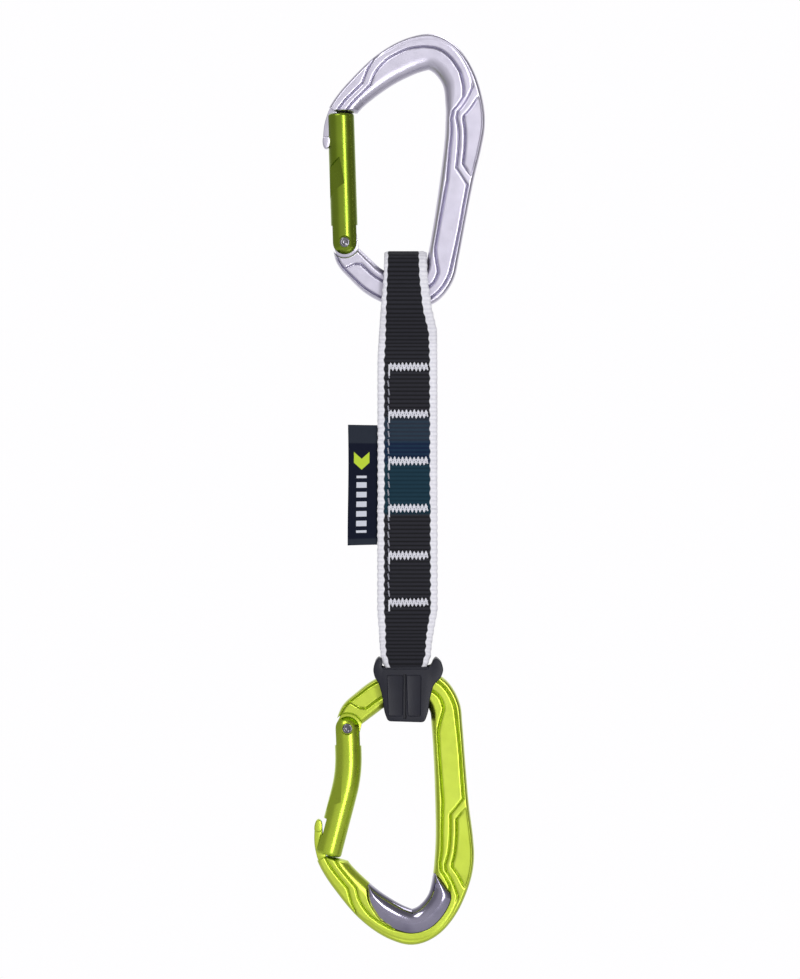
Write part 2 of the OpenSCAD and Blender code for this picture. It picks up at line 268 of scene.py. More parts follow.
def box_shape(low, high):
    """Points and faces of a box between two corners."""
    x0, y0, z0 = low
    x1, y1, z1 = high
    verts = [(x, y, z) for x in (x0, x1) for y in (y0, y1) for z in (z0, z1)]
    faces = [(0, 1, 3, 2), (4, 6, 7, 5), (0, 4, 5, 1), (2, 3, 7, 6), (0, 2, 6, 4), (1, 5, 7, 3)]
    return np.array(verts, float), faces


# ---- The forging's relief ----

# Each rib line runs along the forging as (station, distance in from the outer edge)
OUTER_RIB = [(0, 3.4), (1.2, 3.7), (2.35, 4.3), (2.75, 2.2), (3.15, 0.7), (3.7, 1.5), (4.5, 1.5), (5.8, 1.9),
             (6.7, 1.5), (7.9, 1.9), (8.4, 2.5), (9.35, 9.8), (9.7, 10.5), (11.75, 7.2), (12.15, 1.9),
             (13.2, 1.7), (14.5, 2.2), (16.2, 2.3), (18.5, 1.4), (20.9, 1.0)]
INNER_RIB = [(0, 6.2), (1.3, 6.4), (2.5, 6.9), (2.8, 5.2), (3.1, 4.4), (3.6, 3.8), (4.6, 4.1), (5.2, 4.7),
             (5.8, 5.2), (6.4, 4.8), (7.7, 4.8), (8.4, 5.9), (8.7, 6.8), (9.3, 11.7), (9.8, 12.6),
             (11.2, 11.3), (12.1, 9.5), (13.2, 9.4), (13.8, 9.3), (14.2, 8.1), (15.0, 6.2), (15.5, 5.8),
             (16.2, 6.3), (18.8, 7.2), (20.1, 6.8), (20.4, 5.0), (20.6, 1.2), (21, 1.0)]
POCKET_EDGE = [(8.7, 0.9), (9.6, 7.8), (9.8, 8.0), (11.6, 5.2), (11.95, 0.9)]
# Half thickness outside, between and inside the two rib lines, by station
OUTER_LEVEL = [(0, 4.0), (3.0, 4.0), (3.4, 4.35), (8.4, 4.4), (9.3, 4.75), (12.0, 4.75), (21, 4.7)]
WEB_LEVEL = [(0, 4.5), (3, 4.45), (8.4, 4.35), (9.3, 4.45), (11.6, 4.4), (12.2, 4.15), (16, 4.1), (21, 4.05)]
INNER_LEVEL = [(0, 5.0), (9, 5.0), (10, 4.85), (16, 4.85), (18, 4.9), (21, 4.8)]
# Radius of the inner edge: wide in the basket, where the rope or bolt bears
INNER_ROUND = [(0, 3.2), (3, 4.6), (5.5, 5.0), (8, 4.6), (9.6, 1.9), (14, 1.9), (15.5, 2.6), (19, 2.4),
               (21, 2.0)]
OUTER_ROUND = 1.5
POCKET_D = 0.5
STEP_W = 0.7
GROOVE_W = 0.4
GROOVE_D = 0.62
# The forging ends this far from the pivot: above the straight gate's tip, and round a gate's hinge end
NOSE_REACH = 47.95
SHOULDER_R = 5.25
# The nose end lies before the first of these stations, and the hinge end past the second
NOSE_STATION = 3
HINGE_STATION = 18
# The bent gate of the lower carabiner: height of the bend, lean and length past it, gap at its tip
BEND_Z = 16.5
LOWER_END_TILT = -8.4
LOWER_LEG = 31.3
LOWER_TIP_GAP = 0.05

# How far the steel insert covers the lower basket's face, in from the inner edge, by station
INSERT_COVER = [(2.7, 0.7), (2.95, 3.9), (3.3, 5.9), (4.05, 8.4), (4.9, 8.8), (5.9, 8.5), (6.7, 8.8),
                (7.5, 8.5), (8.35, 8.1), (8.66, 5.0), (9.1, 0.9)]
INSERT_FIRST, INSERT_LAST = INSERT_COVER[0][0], INSERT_COVER[-1][0]
# Under the insert the forging's inner edge is cut back by a ledge, and this is its half thickness
INSERT_LEDGE = 1.0
INSERT_BED = 2.2


def insert_reach(s):
    """Cover of the insert at station s, with its corners eased."""
    return sum(table(INSERT_COVER, s + k) for k in (-0.12, -0.06, 0.0, 0.06, 0.12)) / 5


def relief(s, e, lower):
    """Half thickness of the forging at station s and distance e in from its outer edge, with edges still
    square, and the share of a full groove there."""
    outer, inner = table(OUTER_RIB, s), table(INNER_RIB, s)
    level = table(OUTER_LEVEL, s)
    level = level + (table(WEB_LEVEL, s) - level) * smooth(e, outer - STEP_W / 2, outer + STEP_W / 2)
    level = level + (table(INNER_LEVEL, s) - level) * smooth(e, inner - STEP_W / 2, inner + STEP_W / 2)
    pocket = table(POCKET_EDGE, s)
    inside = smooth(e, 1.0, 1.5) * smooth(pocket - e, -0.25, 0.25) * between(s, 8.75, 8.9, 11.85, 11.95)
    level = level - POCKET_D * inside
    groove = np.zeros_like(level)
    # The outer groove is faint round the basket, and the pocket's runs only beside the pocket
    round_basket = 1 - 0.85 * between(s, 3.0, 3.4, 8.1, 8.5)
    beside_pocket = between(s, 8.7, 9.0, 11.7, 11.9)
    for line, mask in ((outer, round_basket), (inner, 1.0), (pocket, beside_pocket)):
        groove = np.maximum(groove, mask * GROOVE_D * np.exp(-(((e - line) / GROOVE_W) ** 2)))
    level = level - groove
    if lower:
        depth = 2 * half_width(s) - e
        live = between(s, INSERT_FIRST, INSERT_FIRST + 0.3, INSERT_LAST - 0.3, INSERT_LAST)
        under = smooth(insert_reach(s) - depth, -0.25, 0.15) * live
        level = level * (1 - under) + INSERT_BED * under
        groove = groove * (1 - under)
    return level, groove / GROOVE_D


def end_spaced(length, coarse, fine, lead):
    """Shares from 0 to 1 along a length, fine near both ends."""
    middle = np.linspace(lead, length - lead, int((length - 2 * lead) / coarse) + 1)
    ends = np.linspace(0, lead, int(lead / fine) + 1)
    return np.unique(np.concatenate([ends, middle, length - ends])) / length


def nose_room(points, lower):
    """Distance past the gate's end: beyond an arc about its pivot or, for the bent gate, beyond a line."""
    away = points - UPPER_PIVOT
    if not lower:
        return np.linalg.norm(away, axis=-1) - NOSE_REACH
    tilt, end_tilt = math.radians(LOWER_TILT), math.radians(LOWER_END_TILT)
    elbow = BEND_Z * np.array([math.sin(tilt), math.cos(tilt)])
    return (away - elbow) @ np.array([math.sin(end_tilt), math.cos(end_tilt)]) - LOWER_LEG - LOWER_TIP_GAP


def forged_ring(lower):
    """The forged ring, open only where the gate lies: front and back skins that meet at every edge.

    Returns its points, its faces and each point's share of a full groove.
    """
    cols = 113
    share = (1 - np.cos(np.linspace(0, math.pi, cols))) / 2
    fine = np.linspace(0, LAST, 4000)
    centre = spline(BODY_LINE, fine)
    arc = np.concatenate([[0], np.cumsum(np.linalg.norm(np.diff(centre[:, :2], axis=0), axis=1))])
    starts, stops = [], []
    for f in share:
        edge = across(fine, (2 * f - 1) * centre[:, 2])
        far = np.linalg.norm(edge - UPPER_PIVOT, axis=1)
        near_nose = np.nonzero((fine < NOSE_STATION) & (nose_room(edge, lower) < 0))[0]
        near_hinge = np.nonzero((fine > HINGE_STATION) & (far < SHOULDER_R))[0]
        starts.append(arc[near_nose[-1]] if len(near_nose) else 0)
        stops.append(arc[near_hinge[0]] if len(near_hinge) else arc[-1])
    starts, stops = np.array(starts), np.array(stops)
    along = end_spaced(arc[-1], 0.3, 0.12, 1.8)
    run = starts[None] + (stops - starts)[None] * along[:, None]
    s = np.interp(run, arc, fine)
    trim = np.zeros_like(s)
    if lower:
        trim = INSERT_LEDGE * between(s, INSERT_FIRST + 0.05, INSERT_FIRST + 0.6,
                                      INSERT_LAST - 0.6, INSERT_LAST - 0.05)
    width = 2 * half_width(s)
    e = share[None] * (width - trim)
    point = across(s, e - width / 2)
    far = np.linalg.norm(point - UPPER_PIVOT, axis=-1)
    nose_gap = np.where(s < NOSE_STATION, nose_room(point, lower), arc[-1])
    hinge_gap = np.where(s > HINGE_STATION, np.minimum(far - SHOULDER_R, arc[-1] - run), arc[-1])
    nose_gap[0], hinge_gap[-1] = 0, 0
    h, shade = relief(s, e, lower)
    h = h * rounded(e, OUTER_ROUND, 2.6)
    under_insert = lower & (s > 3) & (s < 9)
    h = h * rounded(width - trim - e, np.where(under_insert, 1.5, table(INNER_ROUND, s)), 2.2)
    h = h * rounded(nose_gap, 1.2) * rounded(hinge_gap, 0.9)
    h[:, 0] = h[:, -1] = h[0] = h[-1] = 0
    rows = len(s)
    front = np.stack([point[..., 0], -h, point[..., 1]], -1).reshape(-1, 3)
    back = front * [1, -1, 1]
    index = np.arange(rows * cols).reshape(rows, cols)
    rim = np.zeros((rows, cols), bool)
    rim[0] = rim[-1] = rim[:, 0] = rim[:, -1] = True
    other = index.copy()
    other[~rim] = rows * cols + np.arange((~rim).sum())
    verts = np.concatenate([front, back.reshape(rows, cols, 3)[~rim]])
    shade = np.concatenate([shade.ravel(), shade[~rim]])
    faces = []
    for grid in (index, other[:, ::-1]):
        a, b, c, d = grid[:-1, :-1], grid[:-1, 1:], grid[1:, 1:], grid[1:, :-1]
        faces += np.stack([a, b, c, d], -1).reshape(-1, 4).tolist()
    return verts, faces, shade


def bevelled_plate(outline, half, bevel=0.35):
    """A plate in the XZ plane with bevelled edges, from a smooth outline."""
    work = bmesh.new()
    low = [work.verts.new((x, -half, z)) for x, z in outline]
    face = work.faces.new(low)
    top = bmesh.ops.extrude_face_region(work, geom=[face])
    moved = [v for v in top["geom"] if isinstance(v, bmesh.types.BMVert)]
    bmesh.ops.translate(work, verts=moved, vec=(0, 2 * half, 0))
    bmesh.ops.recalc_face_normals(work, faces=work.faces)
    rim = [e for e in work.edges if abs(e.verts[0].co.y - e.verts[1].co.y) < 1e-6]
    bmesh.ops.bevel(work, geom=rim, offset=bevel, segments=3, profile=0.5, affect="EDGES", clamp_overlap=True)
    verts = np.array([v.co[:] for v in work.verts])
    faces = [[v.index for v in f.verts] for f in work.faces]
    work.free()
    return verts, faces


# Outlines of the nose's blade and of the wider head at its tip, and their half thicknesses
NOSE_LINE = [(-32.5, -13.0), (-35.2, -13.9), (-36.7, -17.2), (-37.6, -20.6), (-38.0, -24.5), (-38.05, -27.4),
             (-37.3, -29.1), (-36.0, -28.6), (-35.2, -26.0), (-34.4, -21.0), (-33.0, -17.0)]
HEAD_LINE = [(-38.05, -25.2), (-38.1, -27.7), (-37.2, -29.2), (-35.8, -28.6), (-35.3, -26.6), (-35.6, -25.0),
             (-36.8, -24.6)]
NOSE_HALF = 1.5
HEAD_HALF = 2.6
# The tongue's cam: angles it spans, radius with the gate closed, rise for each degree, half thickness
CAM_ARC = (-30, 51)
CAM_R = 3.9
CAM_SLOPE = 1 / 30
TONGUE_HALF = 2.0


def loop_outline(points, per=5):
    """A closed smooth outline through a few points."""
    p = list(points)
    ring = np.array([p[-1]] + p + [p[0], p[1]], float)
    s = 1 + np.arange(len(p) * per) / per
    return spline(ring, s)


def nose():
    """The key-lock nose: a thin blade with a wider head at its tip."""
    blade = bevelled_plate(loop_outline(NOSE_LINE), NOSE_HALF, 0.3)
    head = bevelled_plate(loop_outline(HEAD_LINE), HEAD_HALF, 0.45)
    return [blade, head]


def tongue():
    """The tongue between the gate's ears, whose end is the plunger's spiral cam."""
    cam = []
    for degree in range(*CAM_ARC, 4):
        r = CAM_R + (degree - UPPER_TILT) * CAM_SLOPE
        a = math.radians(degree)
        cam.append(UPPER_PIVOT + [r * math.sin(a), r * math.cos(a)])
    root = [UPPER_PIVOT + p for p in ((5.2, -2.8), (5, -7), (2, -9), (-2.5, -6), (-3.9, -2))]
    return bevelled_plate(cam + root, TONGUE_HALF, 0.2)


def carabiner_body(name, lower):
    """The forging with its nose and tongue. The pattern map's U is the share of a full groove, which its material
    darkens as painted shade.
    """
    ring, ring_faces, shade = forged_ring(lower)
    verts, faces = merged([(ring, ring_faces)] + nose() + [tongue()])
    pattern = np.zeros((len(verts), 2))
    pattern[:len(shade), 0] = shade
    if lower:
        verts = to_lower(verts)
    return new_object(name, verts, faces, uvs=pattern, smooth_angle=80)


# ---- Gates ----

UPPER_GATE_L = 47.8
TIP_R = 1.1
# Rings of a gate's rod: in all, on the ball at its hinge, and on its rounded tip
ROD_STEPS = 130
BALL_RINGS = 14
TIP_RINGS = 8
# The bent gate also bows inwards by this much up to a height along it
GATE_BOW = 1.0
BOW_Z = 26
# Slot for the tongue, and cutters that run on well past a gate's side
FORK_FLOOR = 6.4
FORK_HALF = TONGUE_HALF + 0.15
CUT_REACH = 10
# Slot for the nose's blade, which runs out past the gate's tip, and the wider part for its head
SLOT_HALF = 1.8
HEAD_SLOT_HALF = 3.1
HEAD_SLOT_H = 6.2
SLOT_OVER = 5
# Thumb grip: length, depth, lean of its flats in degrees, their turn round the rod, slant of the end step
GRIP_L = 10.8
GRIP_DEPTH = 1.55
GRIP_LEAN = 5.0
GRIP_TURN = 50
GRIP_SLANT = 0.8
# Reach of the cutter that makes one flat, so that it runs out of the rod
GRIP_CUT_X = 8
GRIP_CUT_Y = 5
UPPER_GRIP_Z = 18.9
LOWER_GRIP_Z = 3.0


def gate_rod(axis, tilts):
    """A round rod along a path of (x, z) axis points with a ball end at the hinge and a rounded far end.

    tilts gives the lean of each ring from vertical.
    """
    sides = 96
    a = np.arange(sides) * 2 * math.pi / sides
    rings = []
    for (x, z), tilt, r in zip(axis, tilts, rod_radii(len(axis))):
        lean = math.radians(tilt)
        u = r * np.cos(a)
        rings.append(np.stack([x + u * math.cos(lean), r * np.sin(a), z - u * math.sin(lean)], -1))
    return np.concatenate(rings), tube_faces(len(rings), sides)


def rod_radii(count):
    """Radius of each ring: a quarter circle at the hinge end, full along the rod, rounded at the tip."""
    start = GATE_R * np.sin(np.linspace(0.02, math.pi / 2, BALL_RINGS))
    tip = GATE_R - TIP_R + TIP_R * np.cos(np.linspace(0, math.pi / 2, TIP_RINGS + 1))[1:]
    return np.concatenate([start, np.full(count - len(start) - len(tip), GATE_R), tip])


def rod_heights(length):
    """Heights of the rings along a gate of a given length, matching rod_radii."""
    start = -GATE_R * np.cos(np.linspace(0.02, math.pi / 2, BALL_RINGS))
    tip = length - TIP_R + TIP_R * np.sin(np.linspace(0, math.pi / 2, TIP_RINGS + 1))[1:]
    shaft = np.linspace(0, length - TIP_R, ROD_STEPS - BALL_RINGS - TIP_RINGS + 1)[1:]
    return np.concatenate([start, shaft, tip])


def cut_grip(obj, leg, low, deep_end_low):
    """Thumb grip: two slanted flats on the outer side that deepen along the gate and end in a step."""
    for side in (-1, 1):
        shape, sides = box_shape((-GRIP_CUT_X, -GRIP_CUT_Y, 0), (0, GRIP_CUT_Y, GRIP_L))
        lean = math.radians(GRIP_LEAN)
        deep = shape[:, 2] if deep_end_low else GRIP_L - shape[:, 2]
        shape[:, 0] -= GATE_R - GRIP_DEPTH + deep * math.tan(lean)
        slant = -shape[:, 1] * side * GRIP_SLANT
        shape[:, 2] += low + (slant if deep_end_low else -slant)
        turn = Matrix.Rotation(math.radians(GRIP_TURN * side), 4, "Z")
        carve(obj, np.array([(leg @ turn @ Vector(v))[:] for v in shape]), sides)


def gate(name, length, bend_z, tilt, end_tilt, slot_start, slot_floor, lower):
    """A gate in its hinge's frame, tilted into place. Past bend_z the rod leans over to end_tilt."""
    heights = rod_heights(length)
    lean = math.radians(end_tilt - tilt)
    blend = 7.0
    axis, tilts = [], []
    for z in heights:
        past = z - bend_z
        turn = lean * float(smooth(past, -blend, blend))
        reach = max(past, 0)
        easing = blend / 4 * max(0, 1 - abs(past) / blend) ** 2
        bow = GATE_BOW * math.sin(math.pi / 2 * min(max(z / BOW_Z, 0), 1)) if lean else 0
        axis.append(((reach + easing) * math.sin(lean) + bow, min(z, bend_z) + reach * math.cos(lean)))
        tilts.append(math.degrees(turn))
    leg = Matrix.Translation((0, 0, bend_z)) @ Matrix.Rotation(lean, 4, "Y")
    verts, faces = gate_rod(axis, tilts)
    obj = new_object(name, verts, faces)
    cut_fork(obj)
    if lower:
        cut_grip(obj, leg, LOWER_GRIP_Z, False)
    else:
        cut_grip(obj, Matrix.Identity(4), UPPER_GRIP_Z, True)
    rest = length - bend_z
    low = rest - slot_start
    for half, high in ((SLOT_HALF, rest + SLOT_OVER), (HEAD_SLOT_HALF, low + HEAD_SLOT_H)):
        shape, sides = box_shape((slot_floor - CUT_REACH, -half, low), (slot_floor, half, high))
        carve(obj, np.array([(leg @ Vector(v))[:] for v in shape]), sides)
    place_gate(obj, tilt, lower)
    return obj


def cut_fork(obj):
    """Cuts the slot for the tongue and the two recesses for the rivet's heads."""
    carve(obj, *box_shape((-CUT_REACH, -FORK_HALF, -CUT_REACH), (CUT_REACH, FORK_HALF, FORK_FLOOR)))
    recess = [(0, -0.62), (2.1, -0.62), (2.35, -0.3), (2.6, 1), (0, 1)]
    for side in (-1, 1):
        carve(obj, *lathe([(r, side * (GATE_R + y)) for r, y in recess]))


def place_gate(obj, tilt, lower):
    """Moves a shape from its hinge's frame to the carabiner, smooth shaded with crisp edges."""
    count = len(obj.data.vertices)
    co = np.zeros(count * 3)
    obj.data.vertices.foreach_get("co", co)
    co = in_place(co.reshape(-1, 3) / MM, tilt, lower)
    obj.data.vertices.foreach_set("co", (co * MM).ravel())
    if lower:
        obj.data.flip_normals()
    obj.data.shade_smooth()
    mark_sharp(obj.data, 14)
    soften = obj.modifiers.new("edges", "BEVEL")
    soften.width, soften.segments, soften.limit_method = 0.22 * MM, 2, "ANGLE"
    soften.angle_limit = math.radians(40)
    soften.harden_normals = True


def in_place(points, tilt, lower):
    """Turns points from a gate's own frame into the world."""
    a = math.radians(tilt)
    x, y, z = np.asarray(points, float).T
    p = np.stack([x * math.cos(a) + z * math.sin(a) + UPPER_PIVOT[0], y,
                  z * math.cos(a) - x * math.sin(a) + UPPER_PIVOT[1]], -1)
    return to_lower(p) if lower else p


def rivet(name, tilt, lower):
    """The hinge pin, with a dished head on both sides."""
    top = GATE_R - 0.12
    head = [(0, 0.38), (0.5, 0.36), (0.95, 0.2), (1.15, 0.02), (1.4, 0), (1.72, 0.08), (1.9, 0.3), (1.9, 0.6),
            (1.5, 0.7)]
    profile = [(r, depth - top) for r, depth in head] + [(r, top - depth) for r, depth in reversed(head)]
    verts, faces = lathe(profile, 64)
    return new_object(name, in_place(verts, tilt, lower), faces, smooth_angle=50)


# ---- Closing springs, inside the gates ----

SPRING_R = 0.95
WIRE_R = 0.22
SPRING_COILS = 9
SPRING_STEPS = 20
SPRING_LOW = 12.4
SPRING_HIGH = 23.6


def closing_spring(name, tilt, lower):
    """A helix of wire whose first and last coils lie closed, on the gate's axis above the plunger."""
    turns = np.linspace(0, SPRING_COILS, SPRING_COILS * SPRING_STEPS + 1)
    a = 2 * math.pi * turns
    closed = 3.1 * WIRE_R
    z = np.interp(turns, [0, 1, SPRING_COILS - 1, SPRING_COILS],
                  [SPRING_LOW + WIRE_R, SPRING_LOW + closed, SPRING_HIGH - closed, SPRING_HIGH - WIRE_R])
    path = np.stack([SPRING_R * np.cos(a), SPRING_R * np.sin(a), z], -1)
    verts, faces = tube(path, WIRE_R, sides=10, across_axis=(0, 0, 1))
    return new_object(name, in_place(verts, tilt, lower), faces, smooth_angle=60)


def shorten(obj):
    """Gives a spring a mesh of its own."""
    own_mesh(obj)


# ---- Steel insert ----

# Half its thickness at the crest, fall of its face towards its far border, width of its rim, play inside
INSERT_HIGH = 5.3
INSERT_FALL = 1.1
INSERT_RIM = 1.2
INSERT_PLAY = 0.15


def insert(name):
    """A U-shaped steel clip over the inner side of the lower basket, seen as a crescent on each face."""
    cols, rows = 33, 220
    s = np.linspace(INSERT_FIRST + 0.02, INSERT_LAST - 0.02, rows)[:, None]
    width = half_width(s)
    reach = insert_reach(s)
    tapered = np.minimum(1, 0.75 + 0.25 * reach / 5)
    loop = []
    # Outside skin from the front face's far border, over the rim, to the back face's
    for k in range(cols):
        a = 1 - 2 * k / (cols - 1)
        share = abs(a) ** 1.5
        crest = np.sqrt(np.clip(1 - (1 - share / 0.6) ** 2, 0, 1)) if share < 0.6 else 1.0
        fall = INSERT_FALL * max(0, (share - 0.5) / 0.5) ** 2
        loop.append((reach * share, math.copysign(1, a) * (INSERT_HIGH * crest - fall) * tapered))
    # Inside skin back again, against the body's web
    rim = np.minimum(INSERT_RIM, reach * 0.9)
    shares = np.linspace(0, 1, 9)
    for side, order in ((-1, shares), (1, shares[::-1])):
        for t in order:
            loop.append((reach * (1 - t) + rim * t, side * (INSERT_BED + INSERT_PLAY) + 0 * s))
    depth = np.concatenate([np.broadcast_to(d, s.shape) for d, _ in loop], axis=1)
    y = -np.concatenate([np.broadcast_to(v, s.shape) for _, v in loop], axis=1)
    point = across(np.broadcast_to(s, depth.shape), width - depth)
    verts = np.stack([point[..., 0], y, point[..., 1]], -1).reshape(-1, 3)
    return new_object(name, to_lower(verts), tube_faces(rows, len(loop)), smooth_angle=50)


# ---- Webbing ----

LAYER = 2.5
# The two straps meet at this height, under a bar tack
SPLIT_Z = -162.4
SPLIT_GAP = 0.01
RIB_PITCH = 1.5
RIB_RISE = 0.13
LOOP_R = 6.95
UPPER_LOOP_Z = -75.2
LOWER_LOOP_Z = BAR_Z - 2.9
KEEPER_X = -7.5
# Half width by height, for each strap, with its middle line
UPPER_WIDTH = [(-60, 7.7), (-70, 7.8), (-77, 8.1), (-88, 9.3), (-96.5, 10.6), (-107, 11.0), (-400, 11.1)]
UPPER_MIDDLE = [(-60, -7.55), (-77, -7.5), (-88, -7.3), (-96.5, -6.6), (-107, SLING_X), (-400, SLING_X)]
LOWER_WIDTH = [(-60, 11.1), (-200, 11.1), (-208.8, 9.95), (-217, 9.1), (-222.5, 7.0), (-227, 6.3),
               (-260, 6.0)]
LOWER_MIDDLE = [(-60, SLING_X), (-200, SLING_X), (-212, KEEPER_X), (-260, KEEPER_X)]
# Width of the white selvedge by height, at the left and at the right
LEFT_SELVEDGE = [(-60, 1.3), (-77, 1.3), (-88, 1.9), (-100, 2.4), (-205, 2.5), (-215, 2.0), (-260, 1.4)]
RIGHT_SELVEDGE = [(-60, 2.9), (-77, 3.0), (-88, 3.2), (-107, 2.8), (-205, 2.5), (-215, 2.0), (-260, 1.4)]
# Spread of each layer from the middle plane, measured from the loop's centre towards the core
LOOP_SPREAD = [(-60, LOOP_R), (13.0, LOOP_R), (26.0, LAYER / 2 + 0.02), (400, LAYER / 2 + 0.02)]


def strap_path(loop_z, sign, split_z, spread_scale):
    """Middle line of a strap's layer in the YZ plane: up the front, round the loop and down the back."""
    run = abs(split_z - loop_z)
    drop = np.linspace(run, 0, int(run / 0.26))
    side = table([(d * spread_scale if 0 < d < 100 else d, y) for d, y in LOOP_SPREAD], drop)
    kernel = np.hanning(21)
    side = np.convolve(np.pad(side, 10, mode="edge"), kernel / kernel.sum(), mode="valid")
    turn = np.linspace(0, math.pi, 86)[1:-1]
    y = np.concatenate([-side, -LOOP_R * np.cos(turn), side[::-1]])
    z = loop_z + sign * np.concatenate([-drop, LOOP_R * np.sin(turn), -drop[::-1]])
    return y, z


def strap(name, loop_z, sign, split_z, widths, middles, spread_scale):
    """One half of the sling: a flat woven strap round a loop, ribbed across its width."""
    y, z = strap_path(loop_z, sign, split_z, spread_scale)
    step = np.hypot(np.diff(y), np.diff(z))
    run = np.concatenate([[0], np.cumsum(step)])
    ty, tz = np.gradient(y, run), np.gradient(z, run)
    long = np.hypot(ty, tz)
    ny, nz = tz / long, -ty / long
    cols = 25
    side = np.linspace(-1, 1, cols)
    half = table(widths, z)
    mid = table(middles, z)
    rise = RIB_RISE * np.abs(np.sin(math.pi * run / RIB_PITCH)) - RIB_RISE
    edge = 1 - 0.75 * smooth(np.abs(side), 0.86, 1.0)
    wave = 0.12 * np.sin(2 * math.pi * run / (2 * RIB_PITCH))
    section = []
    for skin in (1, -1):
        order = side if skin > 0 else side[::-1]
        shape = edge if skin > 0 else edge[::-1]
        for u, k in zip(order, shape):
            bulge = LAYER / 2 * (0.4 + 0.6 * k) + rise * k
            x = mid + u * (half + wave * abs(u) ** 6)
            lift = skin * sign * bulge
            section.append(np.stack([x, y + ny * lift, z + nz * lift], -1))
    verts = np.stack(section, 1)
    faces = tube_faces(*verts.shape[:2])
    # Across the strap, -1 to 1 spans the dark ground between the selvedges
    left, right = half - table(LEFT_SELVEDGE, z), half - table(RIGHT_SELVEDGE, z)
    place = np.concatenate([side, side[::-1]])[None] * half[:, None]
    u = (place - ((right - left) / 2)[:, None]) / ((right + left) / 2)[:, None]
    v = np.broadcast_to(run[:, None] * MM * 10, u.shape)
    uv = np.stack([u, v], -1).reshape(-1, 2)
    flat = (2 * float(np.mean(half)) * MM, float(run[-1]) * MM)
    return new_object(name, verts.reshape(-1, 3), faces, uvs=uv, smooth_angle=180), flat


def webbing():
    """The sling as two straps, in place of the hidden CAD webbing."""
    upper, upper_flat = strap("webbing_strap_upper", UPPER_LOOP_Z, 1, SPLIT_Z + SPLIT_GAP, UPPER_WIDTH,
                              UPPER_MIDDLE, 1.0)
    lower, lower_flat = strap("webbing_strap_lower", LOWER_LOOP_Z, -1, SPLIT_Z - SPLIT_GAP, LOWER_WIDTH,
                              LOWER_MIDDLE, 0.85)
    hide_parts("webbing_upper_loop", "webbing_core")
    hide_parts("webbing_lower_loop")
    blend_z(upper)
    blend_z(lower)
    return upper, lower


def blend_z(obj):
    """Bakes a strap's placement into its mesh."""
    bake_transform(obj)


# ---- Stitching ----

FACE_Y = LAYER + 0.02
FLATTEN = 0.75
TACK_W = 14.4
TACK_H = 3.5
TACK_PITCH = 1.42
TACK_THREAD = 0.3
TACK_GAP = 17.4
TACK_TOP = -109.9
TACK_X = -6.5


def bar_tack(name, z, seed):
    """A dense zigzag over straight base stitches, with a short start stitch, on both faces."""
    rng = random.Random(seed)
    parts = []
    for side in (-1, 1):
        y = side * (FACE_Y + 0.1)
        turns = int(2 * TACK_W / TACK_PITCH)
        corners = []
        for k in range(turns + 1):
            x = TACK_X - TACK_W / 2 + k * TACK_W / turns
            up = (1 if k % 2 else -1) * (TACK_H / 2 - 0.3) + rng.uniform(-0.14, 0.14)
            corners.append((x + rng.uniform(-0.06, 0.06), up))
        path = []
        for (x0, u0), (x1, u1) in zip(corners, corners[1:]):
            for t in np.linspace(0, 1, 9)[:-1]:
                lift = 0.16 * math.sin(math.pi * t)
                path.append((x0 + (x1 - x0) * t, y + side * lift, z + u0 + (u1 - u0) * t))
        parts.append(tube(path, TACK_THREAD, sides=8, flatten=FLATTEN))
        for row in (-0.5, 0.5):
            ends = np.linspace(TACK_X - TACK_W / 2, TACK_X + TACK_W / 2, 40)
            line = [(x, side * FACE_Y, z + row + 0.05 * math.sin(3 * x)) for x in ends]
            parts.append(tube(line, 0.2, sides=6))
        left = TACK_X - TACK_W / 2
        tail = [(left + 0.1, y, z + 0.9 - t * 4.2) for t in np.linspace(0, 1, 10)]
        parts.append(tube(tail, TACK_THREAD, sides=8, flatten=FLATTEN))
    verts, faces = merged(parts)
    return new_object(name, verts, faces, smooth_angle=180)


SEAM_X = -13.8
SEAM_PITCH = 3.1
SEAM_DASH = 2.2


def side_seam(name):
    """A broken line of stitches down the left of the sling, on both faces."""
    parts = []
    count = int(5 * TACK_GAP / SEAM_PITCH)
    for side in (-1, 1):
        for i in range(1, count):
            z = TACK_TOP - i * SEAM_PITCH
            t = np.linspace(0, 1, 12)
            rise = 0.16 * np.sin(math.pi * t)
            x = SEAM_X + 0.12 * np.sin(i * 2.4) + 0.35 * (t - 0.5)
            line = np.stack([x, side * (FACE_Y - 0.12 + rise), z + SEAM_DASH * (0.5 - t)], -1)
            parts.append(tube(line, 0.27, sides=8, flatten=0.8))
    verts, faces = merged(parts)
    return new_object(name, verts, faces, smooth_angle=180)


# ---- Label ----

LABEL_HINGE_X = joint_point("label_fold")[0]
LABEL_MID_Z = -153.5
LABEL_W = 10.0
LABEL_H = 44.2
LABEL_TUCK = 2.6


